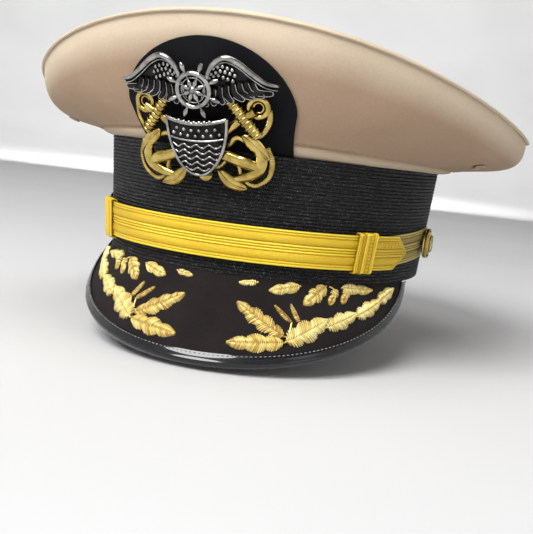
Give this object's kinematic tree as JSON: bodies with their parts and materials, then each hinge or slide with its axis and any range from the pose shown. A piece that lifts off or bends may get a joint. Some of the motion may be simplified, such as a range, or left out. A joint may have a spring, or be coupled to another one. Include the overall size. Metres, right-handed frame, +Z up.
{
  "type": "peaked cap",
  "caption": "Service peaked cap with a ribbed band, steep visor, gold chin strap, side buttons, metal badge and a lift-off cover.",
  "frame": {"origin": "centre of the head opening, in the plane of the band's lower edge", "axes": "+Z up through the crown, -Y to the front over the visor, +X to the wearer's left"},
  "size_m": [0.2738, 0.2772, 0.1617],
  "materials": {
    "khaki_twill": "smooth tropical twill, light khaki",
    "lining_cloth": "thin glazed lining",
    "black_braid": "ribbed mohair braid",
    "black_felt": "dense black felt",
    "visor_felt": "dark brushed cloth",
    "patent": "black patent leather, high gloss",
    "leather": "brown sweatband leather",
    "cane": "woven cane frame",
    "gold_lace": "gold wire lace",
    "bullion": "gold bullion embroidery thread",
    "gilt": "polished gilt",
    "silver": "polished silver, darkened in the recesses",
    "steel": "spring steel"
  },
  "bodies": {
    "frame": {"frame_shell": "cane", "mohair_band": "black_braid", "sweatband": "leather", "stay_pocket": "black_felt", "visor_board": "patent", "visor_cloth": "visor_felt", "visor_binding": "patent", "chin_strap_front": "gold_lace", "chin_strap_left": "gold_lace", "chin_strap_right": "gold_lace", "badge_mount": "black_felt", "badge_anchors": "gilt", "badge_shield": "silver", "badge_wings": "silver", "badge_post": "gilt", "embroidery_left": "bullion", "embroidery_right": "bullion", "button_clip_left": "steel", "button_clip_right": "steel"},
    "cover": {"cover_side": "khaki_twill", "cover_top": "khaki_twill", "cover_hem": "khaki_twill", "cover_lining": "lining_cloth", "rim_welt": "khaki_twill", "rim_hoop": "steel", "front_stay": "steel", "eyelet_left": "steel", "eyelet_right": "steel"},
    "keeper_left": {"keeper_left": "gold_lace"},
    "keeper_right": {"keeper_right": "gold_lace"},
    "side_button_left": {"side_button_left": "gilt"},
    "side_button_right": {"side_button_right": "gilt"},
    "badge_nut": {"badge_nut": "gilt"}
  },
  "joints": [
    {"name": "cover_lift", "type": "slide", "parent": "frame", "child": "cover", "axis": [0, 0, 1], "range_m": [0, 0.07]},
    {"name": "keeper_left_slide", "type": "hinge", "parent": "frame", "child": "keeper_left", "pos_m": [0, -0.025, 0.0164], "axis": [0, 0, 1], "range_deg": [-24, 1]},
    {"name": "keeper_right_slide", "type": "hinge", "parent": "frame", "child": "keeper_right", "pos_m": [0, -0.025, 0.0164], "axis": [0, 0, 1], "range_deg": [-1, 24]},
    {"name": "button_left_turn", "type": "hinge", "parent": "frame", "child": "side_button_left", "pos_m": [0.08776, -0.00916, 0.0202], "axis": [0.9976, -0.0698, 0], "continuous": true},
    {"name": "button_right_turn", "type": "hinge", "parent": "frame", "child": "side_button_right", "pos_m": [-0.08776, -0.00916, 0.0202], "axis": [-0.9976, -0.0698, 0], "continuous": true},
    {"name": "badge_nut_turn", "type": "hinge", "parent": "frame", "child": "badge_nut", "pos_m": [-0.00574, -0.10958, 0.047], "axis": [-0.0523, -0.9986, 0], "continuous": true}
  ]
}
